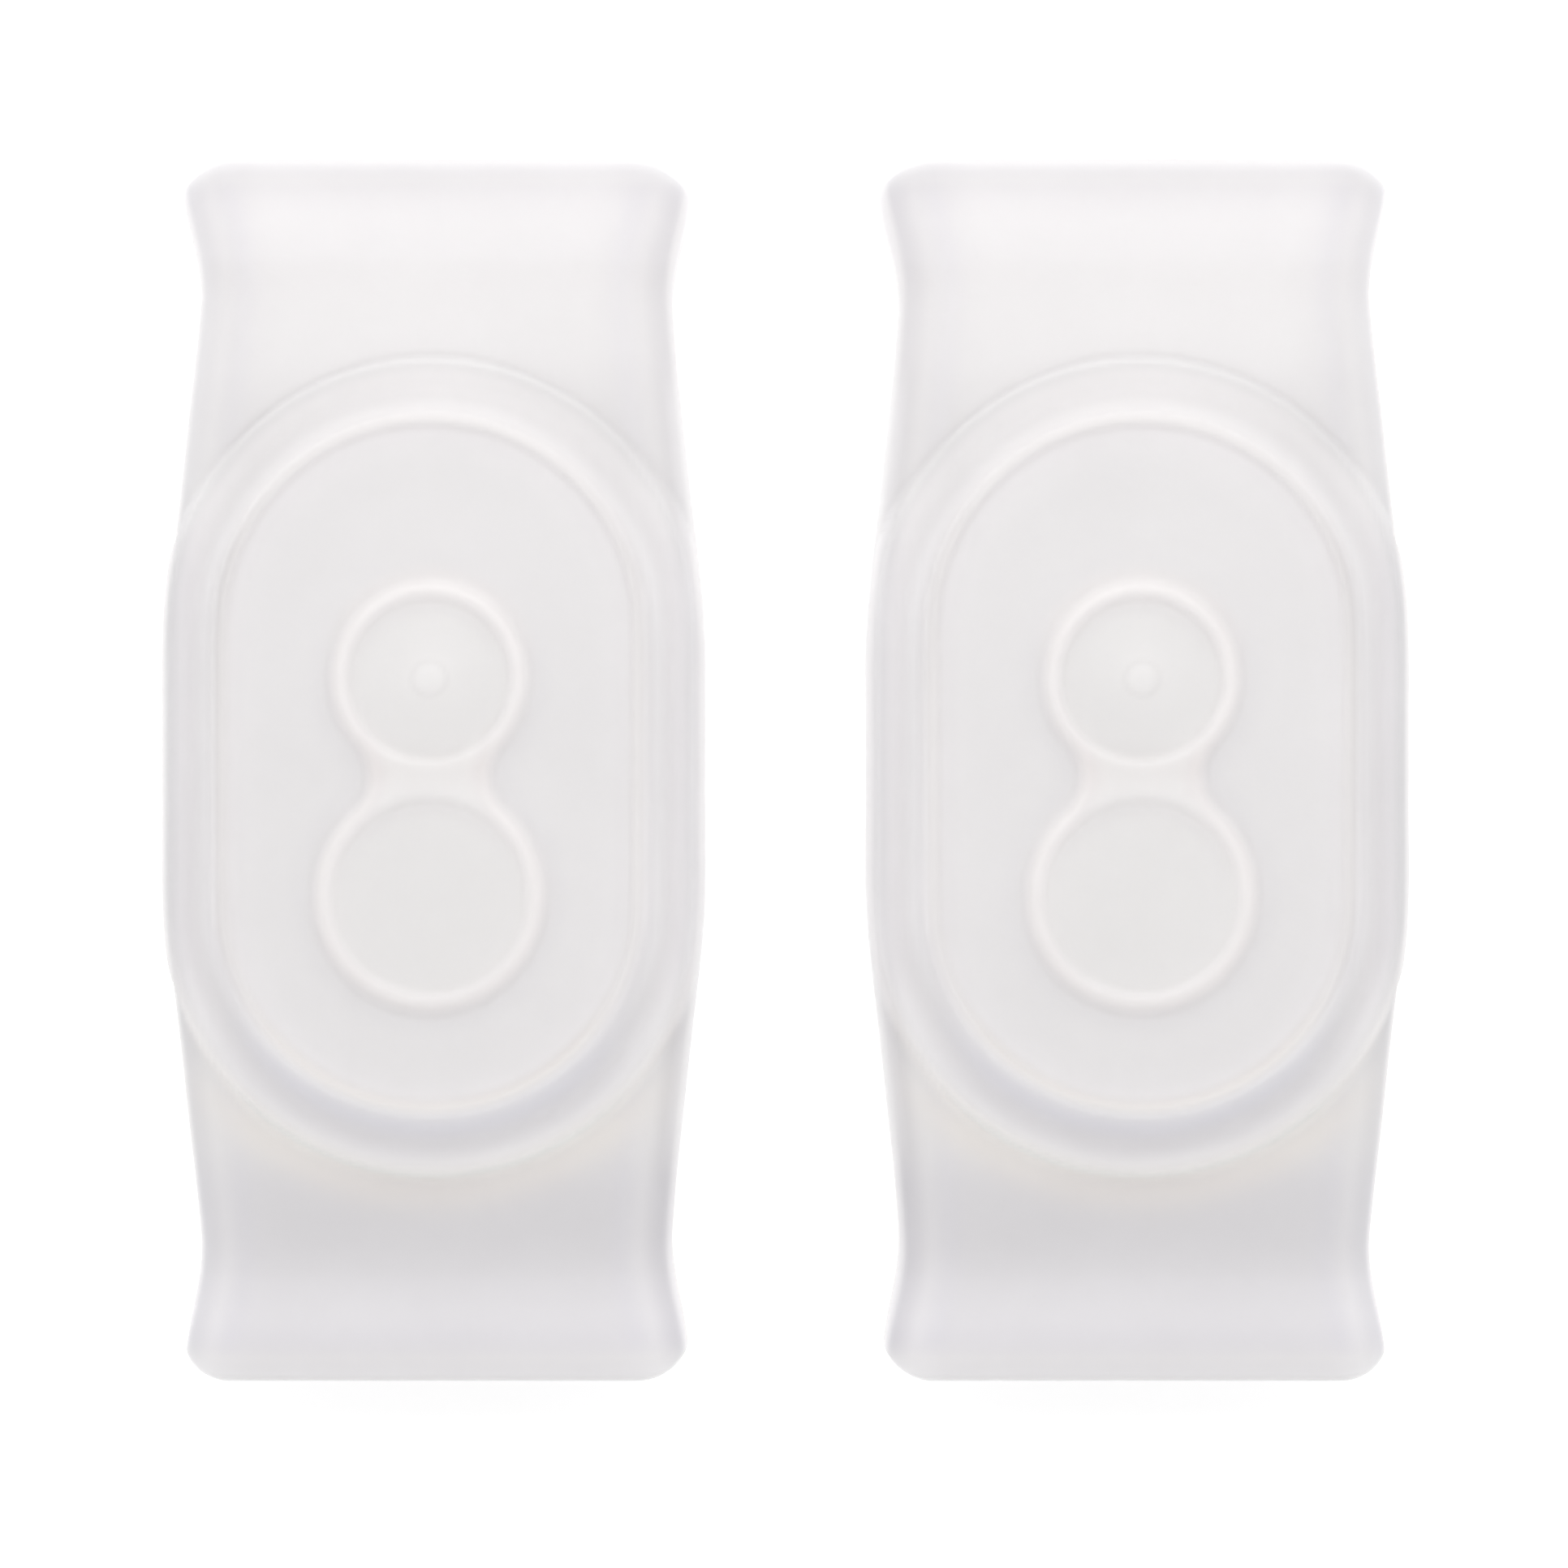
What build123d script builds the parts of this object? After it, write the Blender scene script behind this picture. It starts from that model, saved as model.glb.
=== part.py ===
from build123d import *
import os
from math import sqrt

# A pair of sleeve guards, each one a single moulding of soft translucent silicone. A guard is a
# flat tube, open at both mouths, that is pushed along a flat bar or arm and stretches over the
# wide part in its middle. The front wall carries a raised stadium boss: a thin brim, a coved
# shoulder, a rounded bead and a flat field. On the field stands a relief like a figure eight, two
# round caps joined by a waist, each with a dish in its top. Behind the boss the tube opens into a
# stadium pocket with two round sockets under the caps, so that the wall stays about as thick.
# Each guard lies on its back: X runs across the pair, Y from mouth to mouth, Z up out of the boss.

# ---- driving dimensions, in millimetres ----
pair_gap = 19.9           # between the two guards at their widest

length = 150.0            # mouth to mouth
width = 66.3              # over the straight middle
depth = 24.0              # back to front over the middle
wall = 2.8                # silicone wall
edge_radius = 7.0         # rounding of the tube's four long edges
mouth_corner = 5.6        # rounding of the mouth's corners, seen from the front
lip_round = 1.1           # rounding of the mouth's rim, inside and out

neck_narrower = 8.3       # neck against the middle, over the width
neck_sink = 3.0           # neck's front below the middle's front
neck_lift = 0.8           # neck's back above the middle's back
mouth_wider = 5.2         # mouth against the neck, over the width
mouth_rise = 0.3          # mouth's front above the neck's front
mouth_lift = 0.1          # mouth's back above the middle's back
back_skim = 0.05          # drawn below the back and cut off, so that the back is one true plane

boss_shift = 0.4          # boss's centre from the middle, towards the upper mouth
brim_inset = 25.3         # brim's end to the mouth
brim_step = 0.95          # brim's side in from the tube's side
brim_rise = 0.6           # brim above the tube's front
brim_round = 0.6          # rounding of the brim's outer edge
shoulder_side = 7.1       # brim's side to the bead's line
shoulder_end = 8.1        # brim's end to the bead's line
shoulder_start = 2.0      # flat left on the brim beside the shoulder
cove_depth = 0.8          # hollow of the shoulder's cove
bead_rise = 4.0           # bead above the brim
bead_half = 0.9           # half of the bead's width
bead_drop = 0.3           # from the bead down to the end of the shoulder
field_depth = 0.35        # from the bead down to the flat field
boss_foot = 9.0           # how far the boss is carried down into the tube's wall

relief_rise = 0.8         # figure-eight relief above the field
relief_edge = 0.6         # rounding of the relief's top edge
relief_shift = -2.7       # middle between the caps, from the boss's centre
cap_gap = 26.4            # between the two caps' centres
upper_cap, lower_cap = 11.8, 13.85
waist_radius = 5.8        # hollow rounding between the two caps
upper_dish, upper_dish_depth = 9.95, 0.6
lower_dish, lower_dish_depth = 11.9, 0.45
dish_edge = 0.4           # rounding at the bottom of the lower dish
cone_rise = 0.5           # rise of the upper dish's floor towards its centre
nub_radius, nub_height = 2.0, 0.25

pocket_clear = 1.3        # from the bead's line in to the pocket's wall
pocket_draft = 1.6        # draft of the pocket's wall, from mid-depth up to its ceiling
socket_clear = 0.6        # from a dish's rim in to its socket's wall
socket_depth = 0.6        # sockets above the pocket's ceiling
overrun = 5.0             # how far cutting shapes run past what they cut

# The tube from its middle to its mouth: distance in from the mouth, then how far the width and the
# front have come from their sizes at the neck to those at the middle, then how far the flare has
# opened from the neck to the mouth.
profile = [(60.0, 1.0, 1.0, 0.0), (53.0, 0.89, 1.0, 0.0), (45.0, 0.68, 1.0, 0.0),
           (37.0, 0.46, 1.0, 0.0), (30.0, 0.28, 0.98, 0.0), (26.0, 0.17, 0.88, 0.0),
           (22.0, 0.08, 0.63, 0.0), (19.0, 0.03, 0.4, 0.0), (16.0, 0.0, 0.18, 0.0),
           (13.5, 0.0, 0.07, 0.08), (10.5, 0.0, 0.01, 0.27), (5.0, 0.0, 0.0, 0.76),
           (0.0, 0.0, 0.0, 1.0), (-overrun, 0.0, 0.0, 1.15)]

# ---- sizes that follow ----
half_length = length / 2
neck_width = width - neck_narrower
neck_front = depth - neck_sink
brim_top = depth + brim_rise
bead_top = brim_top + bead_rise
field_z = bead_top - field_depth
relief_z = field_z + relief_rise
brim_radius = width / 2 - brim_step
brim_straight = length - 2 * brim_inset - 2 * brim_radius
bead_radius = brim_radius - shoulder_side
bead_straight = brim_straight + 2 * (shoulder_side - shoulder_end)
upper_y = boss_shift + relief_shift + cap_gap / 2
lower_y = boss_shift + relief_shift - cap_gap / 2
pocket_top = field_z - wall
pocket_radius = bead_radius - pocket_clear
nub_sphere = (nub_radius**2 + nub_height**2) / (2 * nub_height)

# Sections of one half of the tube: y, width, height of the front, height of the back.
middle = [(0.0, width, depth, -back_skim)]
half = [((half_length - profile[0][0]) / 2, width, depth, -back_skim)]
for inset, wide, high, opened in profile:
    half.append((half_length - inset,
                 neck_width + wide * neck_narrower + opened * mouth_wider,
                 neck_front + high * neck_sink + opened * mouth_rise,
                 neck_lift - high * (neck_lift + back_skim) + opened * (mouth_lift - neck_lift)))
sections = [(-y, *sizes) for y, *sizes in reversed(half)] + middle + half


def tube(inset):
    # The tube as a solid block, lofted past both mouths and drawn in by inset.
    with BuildPart() as block:
        for y, across, front, back in sections:
            with BuildSketch(Plane.XZ.offset(-y)):
                with Locations((0, (front + back) / 2)):
                    RectangleRounded(across - 2 * inset, front - back - 2 * inset, edge_radius - inset)
        loft()
    return block.part


def stadium(section, straight):
    # A section drawn in radius and height, turned round both end axes and carried between them.
    with BuildPart() as solid:
        for end in (boss_shift + straight / 2, boss_shift - straight / 2):
            with BuildSketch(Plane.XZ.offset(-end)) as turned:
                add(section)
            revolve(turned.sketch, axis=Axis((0, end, 0), (0, 0, 1)))
        with BuildSketch(Plane.XZ.offset(-boss_shift - straight / 2)) as drawn:
            add(section)
            mirror(section, about=Plane.YZ)
        extrude(drawn.sketch, amount=straight)
    return solid.part


# ---- sections of the boss: the brim, then shoulder, bead and field ----
with BuildSketch() as brim_section:
    with BuildLine():
        Polyline((0, brim_top), (0, depth - boss_foot), (brim_radius, depth - boss_foot),
                 (brim_radius, brim_top - brim_round))
        RadiusArc((brim_radius, brim_top - brim_round), (brim_radius - brim_round, brim_top),
                  -brim_round)
        Line((brim_radius - brim_round, brim_top), (0, brim_top))
    make_face()

with BuildSketch() as bead_section:
    with BuildLine():
        cove_foot = (brim_radius - shoulder_start - brim_round / 2, brim_top)
        cove_top = (bead_radius + bead_half, bead_top - bead_drop)
        bead_inside = (bead_radius - bead_half, field_z)
        Polyline((0, field_z), (0, depth - boss_foot), (cove_foot[0], depth - boss_foot), cove_foot)
        SagittaArc(cove_foot, cove_top, cove_depth)
        ThreePointArc(cove_top, (bead_radius, bead_top), bead_inside)
        Line(bead_inside, (0, field_z))
    make_face()

# ---- section of the pocket: drafted wall and flat ceiling ----
with BuildSketch() as pocket_section:
    Polygon((0, depth / 2), (pocket_radius + pocket_draft, depth / 2),
            (pocket_radius, pocket_top), (0, pocket_top), align=None)

# ---- figure-eight relief: two caps and a waist, with a dish in each cap ----
# The waist's rounding touches both caps: its centre is their radii plus its own away from each.
reach_up, reach_low = upper_cap + waist_radius, lower_cap + waist_radius
drop = (reach_up**2 - reach_low**2 + cap_gap**2) / (2 * cap_gap)
waist_x, waist_y = sqrt(reach_up**2 - drop**2), upper_y - drop

with BuildPart() as relief:
    with BuildSketch(Plane.XY.offset(field_z - wall / 2)) as eight:
        Polygon((0, upper_y), (waist_x, waist_y), (0, lower_y), (-waist_x, waist_y), align=None)
        with Locations((waist_x, waist_y), (-waist_x, waist_y)):
            Circle(waist_radius, mode=Mode.SUBTRACT)
        with Locations((0, upper_y)):
            Circle(upper_cap)
        with Locations((0, lower_y)):
            Circle(lower_cap)
    extrude(amount=relief_rise + wall / 2)
    fillet(relief.faces().sort_by(Axis.Z)[-1].edges(), radius=relief_edge)

    with BuildSketch(Plane.XZ.offset(-upper_y)) as upper_cut:
        with BuildLine():
            floor_z = relief_z - upper_dish_depth
            centre_z = floor_z + cone_rise
            Polyline((0, relief_z + overrun), (upper_dish, relief_z + overrun),
                     (upper_dish, floor_z), (nub_radius, centre_z))
            RadiusArc((nub_radius, centre_z), (0, centre_z + nub_height), -nub_sphere)
            Line((0, centre_z + nub_height), (0, relief_z + overrun))
        make_face()
    revolve(axis=Axis((0, upper_y, 0), (0, 0, 1)), mode=Mode.SUBTRACT)

    with BuildSketch(Plane.XY.offset(relief_z)):
        with Locations((0, lower_y)):
            Circle(lower_dish)
    extrude(amount=-lower_dish_depth, mode=Mode.SUBTRACT)
    dish_floor = relief.faces().filter_by(Axis.Z).sort_by_distance((0, lower_y, relief_z))[0]
    fillet(dish_floor.edges(), radius=dish_edge)

# ---- one guard, centred on its own middle ----
outside = tube(0)
passage = tube(wall)
brim = stadium(brim_section.sketch, brim_straight)
bead = stadium(bead_section.sketch, bead_straight)
pocket = stadium(pocket_section.sketch, bead_straight)

with BuildPart() as moulding:
    add(outside)
    with BuildSketch():
        RectangleRounded(neck_width + mouth_wider, length, mouth_corner)
        Rectangle(width + 2 * overrun, length - 2 * mouth_corner)
    extrude(amount=depth + overrun, mode=Mode.INTERSECT)
    add(brim)
    add(bead)
    add(relief.part)
    add(passage, mode=Mode.SUBTRACT)
    add(pocket, mode=Mode.SUBTRACT)
    for socket_y, dish in ((upper_y, upper_dish), (lower_y, lower_dish)):
        with BuildSketch(Plane.XY.offset(depth / 2)):
            with Locations((0, socket_y)):
                Circle(dish - socket_clear)
        extrude(amount=pocket_top + socket_depth - depth / 2, mode=Mode.SUBTRACT)
    rims = moulding.faces().filter_by(lambda face: abs(face.center().Y) > half_length - mouth_corner)
    fillet(rims.edges().filter_by(GeomType.LINE, reverse=True), radius=lip_round)

os.makedirs("parts", exist_ok=True)
spacing = width + pair_gap

with BuildPart() as left_guard:
    with Locations((-spacing / 2, 0, 0)):
        add(moulding.part)
left_guard.part.label = "left_guard"
export_step(left_guard.part, "parts/left_guard.step")

with BuildPart() as right_guard:
    with Locations((spacing / 2, 0, 0)):
        add(moulding.part)
right_guard.part.label = "right_guard"
export_step(right_guard.part, "parts/right_guard.step")
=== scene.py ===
import math
import bpy
import numpy as np
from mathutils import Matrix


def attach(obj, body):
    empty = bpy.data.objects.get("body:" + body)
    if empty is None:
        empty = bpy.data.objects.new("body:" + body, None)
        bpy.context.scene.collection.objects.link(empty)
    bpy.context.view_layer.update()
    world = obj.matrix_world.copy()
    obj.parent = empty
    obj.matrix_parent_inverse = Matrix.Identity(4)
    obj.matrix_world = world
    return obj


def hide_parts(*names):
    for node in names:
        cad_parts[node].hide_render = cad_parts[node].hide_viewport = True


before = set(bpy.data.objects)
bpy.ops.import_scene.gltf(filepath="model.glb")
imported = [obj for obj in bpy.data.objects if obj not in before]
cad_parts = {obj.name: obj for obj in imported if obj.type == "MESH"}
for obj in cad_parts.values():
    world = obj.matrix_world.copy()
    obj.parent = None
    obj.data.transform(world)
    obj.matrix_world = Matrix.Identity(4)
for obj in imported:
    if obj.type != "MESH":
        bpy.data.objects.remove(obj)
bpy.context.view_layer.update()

mm = 0.001
print("frame loaded:", sorted(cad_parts))

# A pair of soft silicone sleeves, lying on their backs with the boss up. Each is one closed skin:
# a sheet of points that runs round the tube's section one way and, the other way, along the
# outside from mouth to mouth, over the lip, back along the inside and over the other lip.
# All sizes are in millimetres, measured from the middle of the guard, until the mesh is made.

tube = {
    "along": [0.0, 7.5, 15.0, 22.0, 30.0, 38.0, 45.0, 49.0,
              53.0, 56.0, 59.0, 61.5, 64.5, 70.0, 75.0, 80.0],
    "width": [66.3, 66.3, 66.3, 65.4, 63.6, 61.8, 60.3, 59.4,
              58.7, 58.25, 58.0, 58.4, 59.4, 61.95, 63.2, 64.0],
    "front": [24.0, 24.0, 24.0, 24.0, 24.0, 24.0, 23.95, 23.65,
              22.9, 22.2, 21.55, 21.25, 21.1, 21.2, 21.3, 21.35],
    "back":  [0.0, 0.0, 0.0, 0.0, 0.0, 0.0, 0.0, 0.05,
              0.26, 0.46, 0.65, 0.68, 0.6, 0.27, 0.1, 0.0],
    "edge": 7.0,          # rounding of the four long edges
    "wall": 2.8,
    "halfLength": 75.0,
    "lip": 1.1,           # rounding of the rim, inside and out
    "cornerStart": 54.0,  # from here on the sides draw back towards the mouth's round corners
    "mouthAt": 2.0,       # how far in from the end the mouth's width is read
    "openStart": 56.0, "openRun": 15.0,  # where a guard's own wider or leaning top mouth sets in
}

boss = {
    "centre": 0.4,
    "brimStraight": 35.0, "brimRadius": 32.2, "brimTop": 24.6, "brimRound": 0.6,
    "brimSteep": 2.5,     # millimetres down for each one out, in the brim's wall
    "beadStraight": 33.0, "beadRadius": 25.1, "beadTop": 28.6, "beadIn": 0.7, "beadOut": 1.0,
    "field": 28.25,
    "shoulderTop": 28.3, "shoulderFlat": 2.3, "cove": 2.3,
    "foot": 1.8,          # softness of the corner where the brim meets the tube
}

relief = {
    "upper": 10.9, "upperCap": 11.8, "lower": -15.5, "lowerCap": 13.85, "waist": 5.8,
    "rise": 0.8, "edgeIn": 1.0, "edgeOut": 0.9,
    "upperDish": 9.95, "upperDepth": 0.5, "lowerDish": 11.9, "lowerDepth": 0.38, "dishEdge": 0.6,
    "cone": 0.62, "nub": 2.1, "nubRise": 0.12, "dimple": 1.0, "dimpleDepth": 0.1,
}

inside = {
    "pocketRadius": 24.2, "pocketStraight": 33.0, "pocketTop": 25.45, "draft": 0.9,
    "socketUpper": 9.35, "socketLower": 11.3, "socketRise": 0.6,
}

# Painted light and shade: how much whiter than the plain wall each zone is painted, in red, green and
# blue, darker where below zero. The tints were fitted zone by zone. A few zones also stand for thick
# and thin wall. Most paint in how a soft light from beyond the top mouth falls on the guard: light and
# shade on slopes facing the top and the bottom, highlights on rims and edges, shadow beside the relief
# and in the dishes, and the two halves of each guard painted differently.
paintedLight = {
    "field": (0.120, 0.110, 0.117),
    "cap": (0.056, 0.050, 0.032),
    "ring": (0.014, -0.012, -0.028),
    # halo: painted shadow round the foot of the figure eight, weaker towards the top
    "halo": (-0.020, -0.018, -0.014),
    # ringGlow: painted highlight on the upper slope of the caps
    "ringGlow": (0.030, 0.016, 0.008),
    # dishTop and nubRing: painted shade inside the top edge of each dish and round the nub
    "dishTop": (-0.045, -0.045, -0.038),
    "nubRing": (-0.046, -0.046, -0.044),
    "bead": (-0.038, -0.048, -0.058),
    "fieldRim": (-0.042, -0.040, -0.040),
    # zones ending in Lit lie on slopes facing the top mouth and those ending in Shade on slopes facing
    # the bottom; their tints paint light and shade there, lighter or darker as listed
    "beadLit": (-0.072, -0.070, -0.064),
    "shoulder": (0.078, 0.076, 0.082),
    "shoulderLit": (-0.046, -0.046, -0.052),
    "coveTop": (0.040, 0.038, 0.046),
    "coveShade": (0.042, 0.048, 0.102),
    "coveFlat": (-0.060, -0.058, -0.050),
    "crestLow": (-0.022, -0.040, -0.068),
    # foot: painted light over the shade at the foot of the brim, warmer towards the bottom
    "foot": (0.076, 0.046, 0.002),
    # brimLine: painted highlight along the brim's lower edge
    "brimLine": (0.250, 0.225, 0.195),
    "brimBand": (-0.115, -0.113, -0.112),
    "neckLit": (0.035, 0.032, 0.034),
    "neckShade": (-0.036, -0.036, -0.018),
    "mouthPale": (0.020, 0.020, 0.024),
    # lip and flank: painted shade over the rims, mouths and top flanks
    "lip": (-0.155, -0.153, -0.146),
    "flank": (-0.062, -0.062, -0.058),
    "lipLine": (0.018, 0.019, 0.014),
    # edge: painted shade along the long edges; side and topEdge: painted light on the sides and the top
    # edges
    "edge": (-0.170, -0.168, -0.158),
    "side": (0.070, 0.070, 0.070),
    "sideDark": (-0.026, -0.026, -0.016),
    "sideLight": (0.016, 0.016, 0.015),
    "waist": (-0.085, -0.083, -0.086),
    "beadSide": (-0.170, -0.168, -0.166),
    "coveSide": (0.080, 0.080, 0.082),
    "brimSide": (-0.070, -0.070, -0.067),
    # innerWall: painted light on the side wall next to the other guard
    "innerWall": (0.160, 0.160, 0.162),
    "topEdge": (0.085, 0.085, 0.085),
}

# where each band of painted light and shade lies and how wide it spreads, measured across its own line
bands = {
    "ring": (-0.9, 1.3), "halo": (1.7, 1.5), "ringGlow": (0.9, 1.1),
    "bead": (0.4, 1.1), "fieldRim": (-1.7, 1.2), "beadLit": (0.3, 1.2), "coveTop": (1.3, 1.0),
    "coveShade": (2.4, 1.4), "coveFlat": (5.4, 1.3), "crestLow": (-0.2, 0.9),
    "beadSide": (0.8, 0.9), "coveSide": (2.4, 0.8),
    "foot": (2.2, 2.6), "brimLine": (0.3, 0.7), "brimBand": (-0.7, 1.0), "brimSide": (-2.4, 1.0),
    "lipLine": (2.9, 0.7), "sideDark": (6.2, 1.5), "sideLight": (3.7, 1.0), "waist": (0.3, 2.4),
    "dishTop": (-1.2, 1.2), "nubSpread": 0.35,
}

# where each fade of painted light and shade starts and the run over which it is complete
fades = {
    "pastBead": (-0.3, 1.4), "insideBrim": (0.0, 1.5), "outsideBrim": (0.0, 1.5),
    "offLip": (2.0, 4.0), "overField": (-0.4, 2.2), "intoCap": (-3.0, 1.8), "intoWaist": (-1.0, 1.5),
    "capTop": (12.0, 8.0), "upperDishRun": 8.0, "lowerDishRun": 9.0,
    "upFromLow": (-38.0, 20.0), "beadTop": (6.0, 30.0), "shoulderTop": (18.0, 22.0),
    "coveTop": (-12.0, 30.0), "coveLow": (27.0, 13.0), "crestLow": (24.0, 12.0),
    "footLow": (34.0, 12.0), "brimLow": (15.0, 30.0), "brimUp": (-40.0, 30.0),
    "neckTop": (30.0, 18.0), "neckLow": (44.0, 8.0), "mouth": (-13.9, 2.2), "lip": (0.0, 9.0),
    "flank": (4.0, 8.0), "edgeIn": (0.2, 0.9), "edgeOut": (0.0, 4.2), "edgeTop": (26.0, 14.0),
    "side": (0.0, 0.9), "halfWay": (-36.0, 14.0), "wall": (0.6, 1.8), "wallLength": (-52.0, 10.0),
}

# share of a side's band of painted light and shade that the half next to the other guard takes, and the
# far half; the halves differ in the light painted on them, not in the moulding
halves = {"beadSide": (0.5, 1.0), "coveSide": (1.0, 0.35), "brimSide": (0.6, 1.0), "haloTop": 0.9}

guards = {
    "left_guard": {
        "centre": -43.1, "seed": 11, "topWider": 0.018, "topLean": 0.0,
        "cornerRun": (6.8, 5.4), "cornerDrop": (4.6, 4.4), "cornerBlunt": (1.5, 1.9),
    },
    "right_guard": {
        "centre": 43.1, "seed": 29, "topWider": 0.015, "topLean": -0.3,
        "cornerRun": (6.6, 5.4), "cornerDrop": (4.4, 4.5), "cornerBlunt": (1.7, 1.9),
    },
}

gridPlan = {
    "frontColumns": 116, "cornerColumns": 16, "sideColumns": 8, "backColumns": 30,
    "bossRows": 222, "bossReach": 51.5, "endRows": 24, "lipSteps": 4, "insideRows": 92,
}

# the slow unevenness of the moulding's front
waves = {"count": 9, "longest": 46.0, "shortest": 17.0, "height": 0.05}


def easeStep(t):
    # 3t^2 - 2t^3 between 0 and 1, flat outside
    t = np.clip(t, 0.0, 1.0)
    return t * t * (3.0 - 2.0 * t)


def softMax(a, b, k):
    # the higher of two heights, with a round of size k where they cross
    gap = np.clip(0.5 + 0.5 * (a - b) / k, 0.0, 1.0)
    return b + (a - b) * gap + k * gap * (1.0 - gap)


def curveThrough(knots, values, at):
    # natural cubic spline: second slopes solved so that slope and bend run on at every knot
    x, y = np.asarray(knots, float), np.asarray(values, float)
    h = np.diff(x)
    n = len(x)
    system, right = np.eye(n), np.zeros(n)
    inner = np.arange(1, n - 1)
    system[inner, inner - 1] = h[:-1]
    system[inner, inner] = 2.0 * (h[:-1] + h[1:])
    system[inner, inner + 1] = h[1:]
    right[inner] = 6.0 * (np.diff(y)[1:] / h[1:] - np.diff(y)[:-1] / h[:-1])
    bend = np.linalg.solve(system, right)
    i = np.clip(np.searchsorted(x, at) - 1, 0, n - 2)
    a, b, s = x[i + 1] - at, at - x[i], h[i]
    return ((bend[i] * a**3 + bend[i + 1] * b**3) / (6.0 * s)
            + (y[i] / s - bend[i] * s / 6.0) * a + (y[i + 1] / s - bend[i + 1] * s / 6.0) * b)


def tubeSize(name, y):
    # one of the tube's sizes at a distance from the middle, the same towards both mouths
    knots = tube["along"]
    mirrored = [-k for k in reversed(knots[1:])] + knots
    values = tube[name]
    return curveThrough(mirrored, list(reversed(values[1:])) + values, y)


def stadiumGap(x, y, straight, radius):
    # distance outside a stadium's outline: to its straight spine, less its radius
    return np.hypot(x, np.maximum(np.abs(y - boss["centre"]) - straight / 2.0, 0.0)) - radius


def eightGap(x, y):
    # distance outside the figure eight: to the nearer cap, or past the waist's hollow rounding
    up, low, waist = relief["upperCap"], relief["lowerCap"], relief["waist"]
    apart = relief["upper"] - relief["lower"]
    drop = ((up + waist) ** 2 - (low + waist) ** 2 + apart**2) / (2.0 * apart)
    waistX, waistY = math.sqrt((up + waist) ** 2 - drop**2), relief["upper"] - drop
    side = np.abs(x)
    upperCap = np.hypot(side, y - relief["upper"]) - up
    lowerCap = np.hypot(side, y - relief["lower"]) - low
    caps = np.minimum(upperCap, lowerCap)
    hollow = waist - np.hypot(side - waistX, y - waistY)
    aboveLine = side * (relief["upper"] - waistY) < (relief["upper"] - y) * waistX
    belowLine = side * (waistY - relief["lower"]) < (y - relief["lower"]) * waistX
    return np.where(aboveLine & belowLine & (side < waistX), hollow, caps)


def reliefHeight(x, y):
    # figure eight with a soft edge, then a dish let into each cap
    r = relief
    gap = eightGap(x, y)
    height = r["rise"] * (1.0 - easeStep((gap + r["edgeIn"]) / (r["edgeIn"] + r["edgeOut"])))
    upper = np.hypot(x, y - r["upper"])
    lower = np.hypot(x, y - r["lower"])
    inUpper = 1.0 - easeStep((upper - r["upperDish"] + r["dishEdge"]) / (2.0 * r["dishEdge"]))
    inLower = 1.0 - easeStep((lower - r["lowerDish"] + r["dishEdge"]) / (2.0 * r["dishEdge"]))
    cone = r["cone"] * np.clip(1.0 - upper / r["upperDish"], 0.0, 1.0) ** 1.5
    nub = r["nubRise"] * (1.0 - easeStep((upper - r["dimple"]) / (r["nub"] - r["dimple"])))
    nub = nub - r["dimpleDepth"] * (1.0 - easeStep(upper / r["dimple"]))
    return height + inUpper * (cone + nub - r["upperDepth"]) - inLower * r["lowerDepth"]


def bossHeight(x, y):
    # heights of the boss over the plan, and how far each point is outside the brim
    b = boss
    toBrim = stadiumGap(x, y, b["brimStraight"], b["brimRadius"])
    toBead = stadiumGap(x, y, b["beadStraight"], b["beadRadius"])
    # brim: flat, with a quarter round at its edge and a steep wall outside it
    into = np.clip(toBrim + b["brimRound"], 0.0, b["brimRound"])
    brim = b["brimTop"] - b["brimRound"] + np.sqrt(b["brimRound"] ** 2 - into**2)
    brim = brim - b["brimSteep"] * np.maximum(toBrim, 0.0)
    # shoulder: how far from the bead to the brim, then a hollow curve down
    down = np.clip(toBead - b["beadOut"], 0.0, None)
    out = np.clip(-toBrim - b["shoulderFlat"], 1e-6, None)
    t = down / (down + out)
    rise = b["shoulderTop"] - b["brimTop"]
    shoulder = rise * (1.0 - t) ** b["cove"]
    # bead: a soft ridge on its line, over the field inside and the shoulder outside
    field = b["field"] - b["brimTop"] + reliefHeight(x, y)
    reach = np.where(toBead < 0.0, b["beadIn"], b["beadOut"])
    ridge = 1.0 - easeStep(np.abs(toBead) / reach)
    high = np.where(toBead < 0.0, field, shoulder)
    base = np.where(toBead < 0.0, b["field"] - b["brimTop"], rise)
    high = high + (b["beadTop"] - b["brimTop"] - base) * ridge
    return brim + high, toBrim


def pocketHeight(x, y):
    # ceiling of the pocket behind the boss, with a socket behind each cap
    p = inside
    gap = stadiumGap(x, y, p["pocketStraight"], p["pocketRadius"])
    high = 1.0 - easeStep((gap + p["draft"]) / (2.0 * p["draft"]))
    upper = np.hypot(x, y - relief["upper"]) - p["socketUpper"]
    lower = np.hypot(x, y - relief["lower"]) - p["socketLower"]
    socket = p["socketRise"] * (1.0 - easeStep(0.5 + np.minimum(upper, lower)))
    return p["pocketTop"] + socket, high


def bump(value, middle, spread):
    # a bell of height one: e to the minus square of the distance from its middle over its spread
    return np.exp(-(((value - middle) / spread) ** 2))


def fade(value, name):
    # 0 up to a fade's start and 1 from its start plus its run on
    start, run = fades[name]
    return easeStep((value - start) / run)


def band(value, name):
    # a bell at a band's place, as wide as its spread
    return bump(value, *bands[name])


def nearFar(name, inward):
    # a half's share of a side's band: the near share where inward is 1 and the far one where it is 0
    near, far = halves[name]
    return far + (near - far) * inward


def dishTopShare(x, y, dish, at, run):
    # a bell just inside a dish's edge, on the side towards the top mouth
    offset, spread = bands["dishTop"]
    return bump(np.hypot(x, y - at), dish + offset, spread) * easeStep((y - at) / run)


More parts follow.
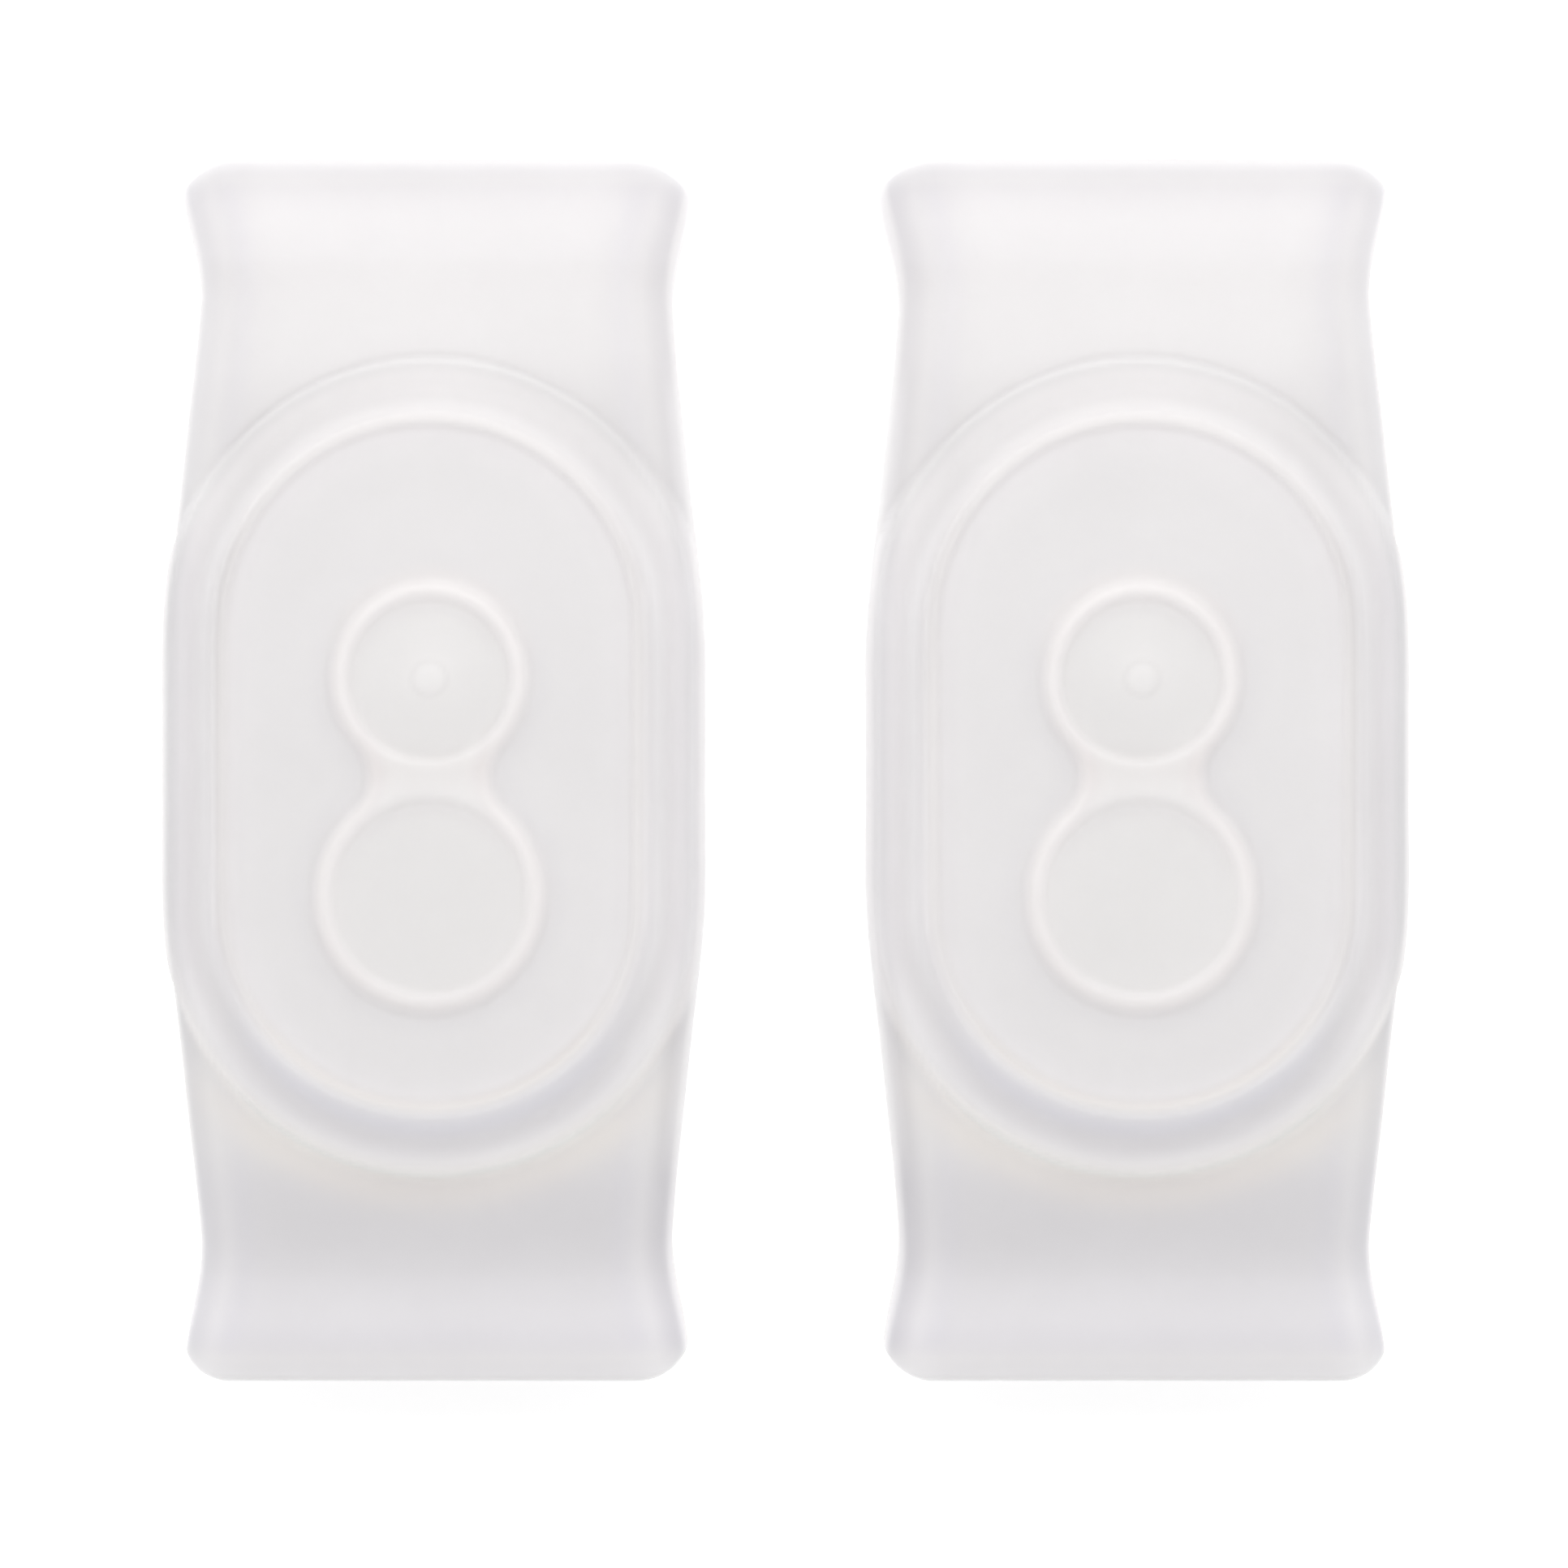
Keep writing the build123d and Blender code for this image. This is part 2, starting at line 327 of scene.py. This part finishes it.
def paintedLightTone(x, y, toBrim, front, outer, inward):
    # how much whiter each point is painted than the plain wall, as painted light and shade: one plus
    # the sum of each zone's share times its tint, for red, green and blue; inward is 1 on the half next
    # to the other guard and 0 on the far half, and the two halves take different painted light and
    # shade
    r = relief
    toBead = stadiumGap(x, y, boss["beadStraight"], boss["beadRadius"])
    fromMouth = tube["halfLength"] - np.abs(y)
    fromSide = tubeSize("width", y) / 2.0 - np.abs(x)
    fromMiddle = np.abs(y)
    cap = eightGap(x, y)
    shown = front * outer
    plain = shown * fade(toBrim, "outsideBrim") * fade(fromMouth, "offLip")
    shoulder = fade(toBead, "pastBead") * fade(-toBrim, "insideBrim")
    dishTop = (dishTopShare(x, y, r["upperDish"], r["upper"], fades["upperDishRun"])
               + dishTopShare(x, y, r["lowerDish"], r["lower"], fades["lowerDishRun"]))
    edge = outer * fade(fromSide, "edgeIn") * (1.0 - fade(fromSide, "edgeOut"))
    halfWay = fade(-fromMiddle, "halfWay")
    # each zone's share over the skin: where its painted light or shade lies
    shares = {
        "field": shown * fade(-toBead, "overField"),
        "cap": shown * (1.0 - fade(cap, "intoCap")),
        "ring": shown * band(cap, "ring"),
        "halo": shown * band(cap, "halo") * (1.0 - halves["haloTop"] * fade(y, "capTop")),
        "dishTop": shown * dishTop,
        "ringGlow": shown * band(cap, "ringGlow") * fade(y, "capTop"),
        "nubRing": shown * bump(np.hypot(x, y - r["upper"]), r["nub"], bands["nubSpread"]),
        "bead": shown * band(toBead, "bead") * fade(y, "upFromLow"),
        "fieldRim": shown * band(toBead, "fieldRim") * fade(y, "upFromLow"),
        "beadLit": shown * band(toBead, "beadLit") * fade(y, "beadTop"),
        "shoulder": shown * shoulder,
        "shoulderLit": shown * shoulder * fade(y, "shoulderTop"),
        "coveTop": shown * band(toBead, "coveTop") * fade(-y, "coveTop"),
        "coveShade": shown * band(toBead, "coveShade") * fade(-y, "coveLow"),
        "coveFlat": shown * band(toBead, "coveFlat") * fade(-y, "coveLow"),
        "crestLow": shown * band(toBead, "crestLow") * fade(-y, "crestLow"),
        "foot": shown * band(toBrim, "foot") * fade(-y, "footLow"),
        "brimLine": shown * band(toBrim, "brimLine") * fade(-y, "brimLow"),
        "brimBand": shown * band(toBrim, "brimBand") * fade(y, "brimUp"),
        "neckLit": plain * fade(y, "neckTop"),
        "neckShade": plain * fade(-y, "neckLow"),
        "mouthPale": shown * fade(-fromMouth, "mouth"),
        "lip": 1.0 - fade(fromMouth, "lip"),
        "flank": shown * (1.0 - fade(fromSide, "flank")) * fade(y, "neckTop"),
        "lipLine": shown * band(fromMouth, "lipLine"),
        "edge": edge,
        "side": outer * (1.0 - fade(fromSide, "side")),
        "sideDark": plain * band(fromSide, "sideDark"),
        "sideLight": plain * band(fromSide, "sideLight"),
        "waist": shown * band(y, "waist") * (1.0 - fade(cap, "intoWaist")),
        "beadSide": shown * band(toBead, "beadSide") * halfWay * nearFar("beadSide", inward),
        "coveSide": shown * band(toBead, "coveSide") * halfWay * nearFar("coveSide", inward),
        "brimSide": shown * band(toBrim, "brimSide") * halfWay * nearFar("brimSide", inward),
        "innerWall": outer * (1.0 - fade(fromSide, "wall")) * inward * fade(-fromMiddle, "wallLength"),
        "topEdge": edge * fade(y, "edgeTop"),
    }
    tone = np.ones((*x.shape, 3))
    for zone, share in shares.items():
        tone += share[..., None] * np.array(paintedLight[zone])
    return tone


def sectionRing():
    # Round the tube's section, as four shares for each point: of the flat's half width, of the
    # edge's rounding across, of the side's half height and of the rounding upwards.
    g = gridPlan
    flat = np.linspace(-1.0, 1.0, g["frontColumns"], endpoint=False)
    turn = np.linspace(0.0, math.pi / 2.0, g["cornerColumns"], endpoint=False)
    side = np.linspace(1.0, -1.0, g["sideColumns"], endpoint=False)
    under = np.linspace(1.0, -1.0, g["backColumns"], endpoint=False)
    lowTurn = np.linspace(0.0, math.pi / 2.0, g["cornerColumns"] // 2, endpoint=False)
    one = np.ones_like
    parts = [
        (flat, 0 * flat, one(flat), one(flat)),
        (one(turn), np.sin(turn), one(turn), np.cos(turn)),
        (one(side), one(side), side, 0 * side),
        (one(lowTurn), np.cos(lowTurn), -one(lowTurn), -np.sin(lowTurn)),
        (under, 0 * under, -one(under), -one(under)),
        (-one(lowTurn), -np.sin(lowTurn), -one(lowTurn), -np.cos(lowTurn)),
        (-one(side), -one(side), -side, 0 * side),
        (-one(turn), -np.cos(turn), one(turn), np.sin(turn)),
    ]
    return [np.concatenate([p[i] for p in parts]) for i in range(4)]


def lengthRows():
    # distance along and depth under the outer skin, for each row of the sheet
    g, lip, wall = gridPlan, tube["lip"], tube["wall"]
    stop = tube["halfLength"] - lip
    reach = g["bossReach"]
    end = np.linspace(reach, stop, g["endRows"], endpoint=False)
    middle = np.linspace(-reach, reach, g["bossRows"])
    outer = np.concatenate([-stop + 0 * end[:1], -end[:0:-1], middle, end[1:]])
    turn = np.linspace(0.0, math.pi / 2.0, g["lipSteps"] + 1)
    lipAlong = np.concatenate([stop + lip * np.sin(turn), stop + lip * np.cos(turn)])
    lipDepth = np.concatenate([lip * (1.0 - np.cos(turn)), wall - lip + lip * np.sin(turn)])
    back = np.linspace(stop, -stop, g["insideRows"] + 2)[1:-1]
    along = np.concatenate([outer, lipAlong, back, -lipAlong[::-1]])
    depth = np.concatenate([0 * outer, lipDepth, 0 * back + wall, lipDepth[::-1]])
    return along[1:], depth[1:]


def slowWaves(x, y, seed, count, longest, shortest):
    # a sum of slanted sine waves of random heading and phase: the unevenness of a soft moulding
    draw = np.random.default_rng(seed)
    total = np.zeros_like(x)
    for i in range(count):
        heading, phase = draw.uniform(0.0, 2.0 * math.pi, 2)
        span = draw.uniform(shortest, longest)
        total += np.sin(2.0 * math.pi * (x * math.cos(heading) + y * math.sin(heading)) / span + phase)
    return total / math.sqrt(count)


def guardSheet(plan):
    # The whole skin of one guard as rows by columns of x, y, z, with its painted light and shade. The
    # tube's section is set out along its length, its corners drawn back at the mouths, the boss raised
    # out of the front and the pocket out of the inside, and slow waves laid over the front.
    shareFlat, shareTurn, shareSide, shareUp = (s[None, :] for s in sectionRing())
    along, depth = (r[:, None] for r in lengthRows())
    y = along + 0 * shareFlat
    for again in range(2):  # how far a corner draws back hangs on the width there: twice settles it
        width = tubeSize("width", y)
        halfWide = width / 2.0 - depth
        radius = tube["edge"] - depth
        x = shareFlat * (halfWide - radius) + shareTurn * radius
        run = np.where(along > 0, plan["cornerRun"][0], plan["cornerRun"][1])
        drop = np.where(along > 0, plan["cornerDrop"][0], plan["cornerDrop"][1])
        mouthHalf = tubeSize("width", np.array(tube["halfLength"] - tube["mouthAt"])) / 2.0 - depth
        over = np.clip((np.abs(x) - (mouthHalf - run)) / run, 0.0, 0.999)
        blunt = np.where(along > 0, plan["cornerBlunt"][0], plan["cornerBlunt"][1])
        pull = drop * (1.0 - (1.0 - over**blunt) ** (1.0 / blunt))
        cornerRange = tube["halfLength"] - tube["cornerStart"]
        near = easeStep((np.abs(along) - tube["cornerStart"]) / cornerRange)
        y = along - np.sign(along) * pull * near
    opened = easeStep((along - tube["openStart"]) / tube["openRun"])
    x = x * (1.0 + plan["topWider"] * opened) + plan["topLean"] * opened
    front = tubeSize("front", y) - depth
    back = np.maximum(tubeSize("back", y), 0.0) + depth
    middle, halfHigh = (front + back) / 2.0, (front - back) / 2.0
    z = middle + shareSide * (halfHigh - radius) + shareUp * radius
    isFront = shareUp > 0.0
    outerSkin = depth < 1e-6
    high, toBrim = bossHeight(x, y)
    raised = softMax(high, z, boss["foot"])
    z = np.where(isFront & outerSkin & (toBrim < 1.0), raised, z)
    innerSkin = depth > tube["wall"] - 1e-6
    ceiling, share = pocketHeight(x, y)
    z = np.where(isFront & innerSkin, z + np.maximum(ceiling - z, 0.0) * share, z)
    wave = slowWaves(x, y, plan["seed"], waves["count"], waves["longest"], waves["shortest"])
    dying = np.clip(1.0 - depth / tube["wall"], 0.0, 1.0)
    z = z + np.where(isFront, waves["height"], 0.0) * wave * dying
    # 1 on the half next to the other guard: that half takes its own painted light and shade
    inward = 1.0 * (x * plan["centre"] < 0.0)
    tone = paintedLightTone(x, y, toBrim, 1.0 * isFront, 1.0 * outerSkin, inward)
    return (x + plan["centre"], y, z), tone


def closedSheet(name, x, y, z, tone):
    # a sheet whose rows and columns both close on themselves, as one mesh of four-sided faces
    rows, columns = x.shape
    points = np.stack([x, y, z], axis=-1).reshape(-1, 3) * mm
    index = np.arange(rows * columns).reshape(rows, columns)
    right = np.roll(index, -1, axis=1)
    faces = np.stack([index, np.roll(index, -1, axis=0), np.roll(right, -1, axis=0), right], axis=-1)
    faces = faces.reshape(-1, 4)
    mesh = bpy.data.meshes.new(name)
    mesh.vertices.add(len(points))
    mesh.vertices.foreach_set("co", points.ravel())
    mesh.loops.add(faces.size)
    mesh.loops.foreach_set("vertex_index", faces.ravel())
    mesh.polygons.add(len(faces))
    mesh.polygons.foreach_set("loop_start", np.arange(len(faces)) * 4)
    mesh.polygons.foreach_set("use_smooth", np.ones(len(faces), bool))
    mesh.update(calc_edges=True)
    mesh.validate()
    # the painted light and shade go on each point as a colour attribute
    colour = np.concatenate([tone.reshape(-1, 3), np.ones((rows * columns, 1))], axis=1)
    mesh.attributes.new("paintedLight", "FLOAT_COLOR", "POINT").data.foreach_set("color", colour.ravel())
    piece = bpy.data.objects.new(name, mesh)
    bpy.context.scene.collection.objects.link(piece)
    return piece


def linearColour(text):
    # sRGB hex to linear light: (v / 12.92) below 0.04045, else ((v + 0.055) / 1.055) ^ 2.4
    value = np.array([int(text[i:i + 2], 16) for i in (1, 3, 5)]) / 255.0
    linear = np.where(value <= 0.04045, value / 12.92, ((value + 0.055) / 1.055) ** 2.4)
    return (*linear.tolist(), 1.0)


def addNode(tree, kind, settings=None, links=None):
    # one node with its settings: plain names are properties, and sockets are set or linked by name
    node = tree.nodes.new(kind)
    for key, value in (settings or {}).items():
        if key in node.inputs:
            node.inputs[key].default_value = value
        else:
            setattr(node, key, value)
    for key, source in (links or {}).items():
        tree.links.new(source, node.inputs[key])
    return node


silicone = {
    "colour": "#E3E1E2", "shade": "#E1DFE0",
    "cloudSize": 14.0,    # millimetres across one cloud of the uneven filler
    "grainSize": 0.55,    # the mould's blasted grain, drawn coarser than the real 0.1 so that it shows
    "grainDepth": 0.02,
    "scatter": (7.0, 7.0, 7.0),
}


def siliconeMaterial():
    # Translucent silicone rubber, moulded in a blasted steel tool: a soft milky body that light sinks
    # into, with a satin skin and a faint grain, and no hard gloss. Its colour is the filler's clouds
    # times the painted light and shade held on the points.
    s = silicone
    material = bpy.data.materials.new("mouldedSilicone")
    material.use_nodes = True
    tree = material.node_tree
    tree.nodes.clear()
    where = addNode(tree, "ShaderNodeTexCoord").outputs["Object"]
    cloud = addNode(tree, "ShaderNodeTexNoise", {
        "Scale": 1.0 / (s["cloudSize"] * mm), "Detail": 3.0, "Roughness": 0.55,
    }, {"Vector": where})
    grain = addNode(tree, "ShaderNodeTexNoise", {
        "Scale": 1.0 / (s["grainSize"] * mm), "Detail": 2.0, "Roughness": 0.6,
    }, {"Vector": where})
    ramp = addNode(tree, "ShaderNodeValToRGB", {}, {"Fac": cloud.outputs["Fac"]})
    darker, lighter = ramp.color_ramp.elements
    darker.position, lighter.position = 0.3, 0.7
    darker.color, lighter.color = linearColour(s["shade"]), linearColour(s["colour"])
    # the points' painted light and shade, multiplied into the body colour
    paintedLightColour = addNode(tree, "ShaderNodeAttribute", {"attribute_name": "paintedLight"}).outputs["Color"]
    body = addNode(tree, "ShaderNodeMix", {"data_type": "RGBA", "blend_type": "MULTIPLY"})
    body.inputs["Factor"].default_value = 1.0
    tree.links.new(ramp.outputs["Color"], body.inputs[6])  # the colour pair of the mix is 6 and 7
    tree.links.new(paintedLightColour, body.inputs[7])
    grainBump = addNode(tree, "ShaderNodeBump", {
        "Strength": 0.35, "Distance": s["grainDepth"] * mm,
    }, {"Height": grain.outputs["Fac"]})
    skin = addNode(tree, "ShaderNodeBsdfPrincipled", {
        "Roughness": 0.46, "IOR": 1.41, "Subsurface Weight": 1.0, "Subsurface Scale": mm,
        "Subsurface Radius": s["scatter"], "Subsurface Anisotropy": 0.3,
    }, {"Base Color": body.outputs[2], "Normal": grainBump.outputs["Normal"]})
    skin.subsurface_method = "RANDOM_WALK"
    addNode(tree, "ShaderNodeOutputMaterial", {}, {"Surface": skin.outputs["BSDF"]})
    return material


def whiteMaterial(name, colour, glow):
    # matt white card, lit a little from itself like a light table
    material = bpy.data.materials.new(name)
    material.use_nodes = True
    skin = material.node_tree.nodes["Principled BSDF"]
    skin.inputs["Base Color"].default_value = linearColour(colour)
    skin.inputs["Roughness"].default_value = 0.9
    skin.inputs["Emission Color"].default_value = (1.0, 1.0, 1.0, 1.0)
    skin.inputs["Emission Strength"].default_value = glow
    return material


# ---- the two guards ----
skinMaterial = siliconeMaterial()
for node, plan in guards.items():
    skin, tone = guardSheet(plan)
    piece = closedSheet(node.replace("_guard", "_sleeve"), *skin, tone)
    piece.data.materials.append(skinMaterial)
    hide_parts(node)
    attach(piece, node)
    print("sleeve made:", piece.name, len(piece.data.polygons), "faces")

# ---- floor, light and camera ----
studio = {
    "floorSize": 3000.0, "floorGlow": 0.45,
    "world": 0.72,
    "softbox": {"size": 600.0, "distance": 700.0, "elevation": 55.0, "power": 2.6, "colour": "#FFFEFC"},
    "cameraDistance": 650.0, "cameraAim": (-0.2, -1.85, 12.0), "frameWidth": 194.6,
    "sensor": 36.0,
}

floorMesh = bpy.data.meshes.new("floor")
half = studio["floorSize"] / 2.0 * mm
floorCorners = [(-half, -half, 0), (half, -half, 0), (half, half, 0), (-half, half, 0)]
floorMesh.from_pydata(floorCorners, [], [(0, 1, 2, 3)])
floor = bpy.data.objects.new("floor", floorMesh)
bpy.context.scene.collection.objects.link(floor)
floorMesh.materials.append(whiteMaterial("whiteCard", "#F4F4F4", studio["floorGlow"]))

world = bpy.data.worlds.new("studioAir")
world.use_nodes = True
world.node_tree.nodes["Background"].inputs["Color"].default_value = (1.0, 1.0, 1.0, 1.0)
world.node_tree.nodes["Background"].inputs["Strength"].default_value = studio["world"]
bpy.context.scene.world = world

box = studio["softbox"]
rise = math.radians(box["elevation"])
lamp = bpy.data.objects.new("softbox", bpy.data.lights.new("softbox", "AREA"))
lamp.data.shape = "SQUARE"
lamp.data.size = box["size"] * mm
lamp.data.energy = box["power"]
lamp.data.color = linearColour(box["colour"])[:3]
away = box["distance"] * mm
lamp.location = (0.0, away * math.cos(rise), away * math.sin(rise))
lamp.rotation_euler = (rise - math.pi / 2.0, 0.0, 0.0)
bpy.context.scene.collection.objects.link(lamp)

camera = bpy.data.objects.new("camera", bpy.data.cameras.new("camera"))
aimX, aimY, aimZ = studio["cameraAim"]
camera.location = (aimX * mm, aimY * mm, (aimZ + studio["cameraDistance"]) * mm)
camera.data.sensor_width = studio["sensor"]
camera.data.lens = studio["sensor"] * studio["cameraDistance"] / studio["frameWidth"]
camera.data.clip_start, camera.data.clip_end = 0.01, 20.0
bpy.context.scene.collection.objects.link(camera)
bpy.context.scene.camera = camera
bpy.context.scene.view_settings.view_transform = "Standard"
print("studio ready")
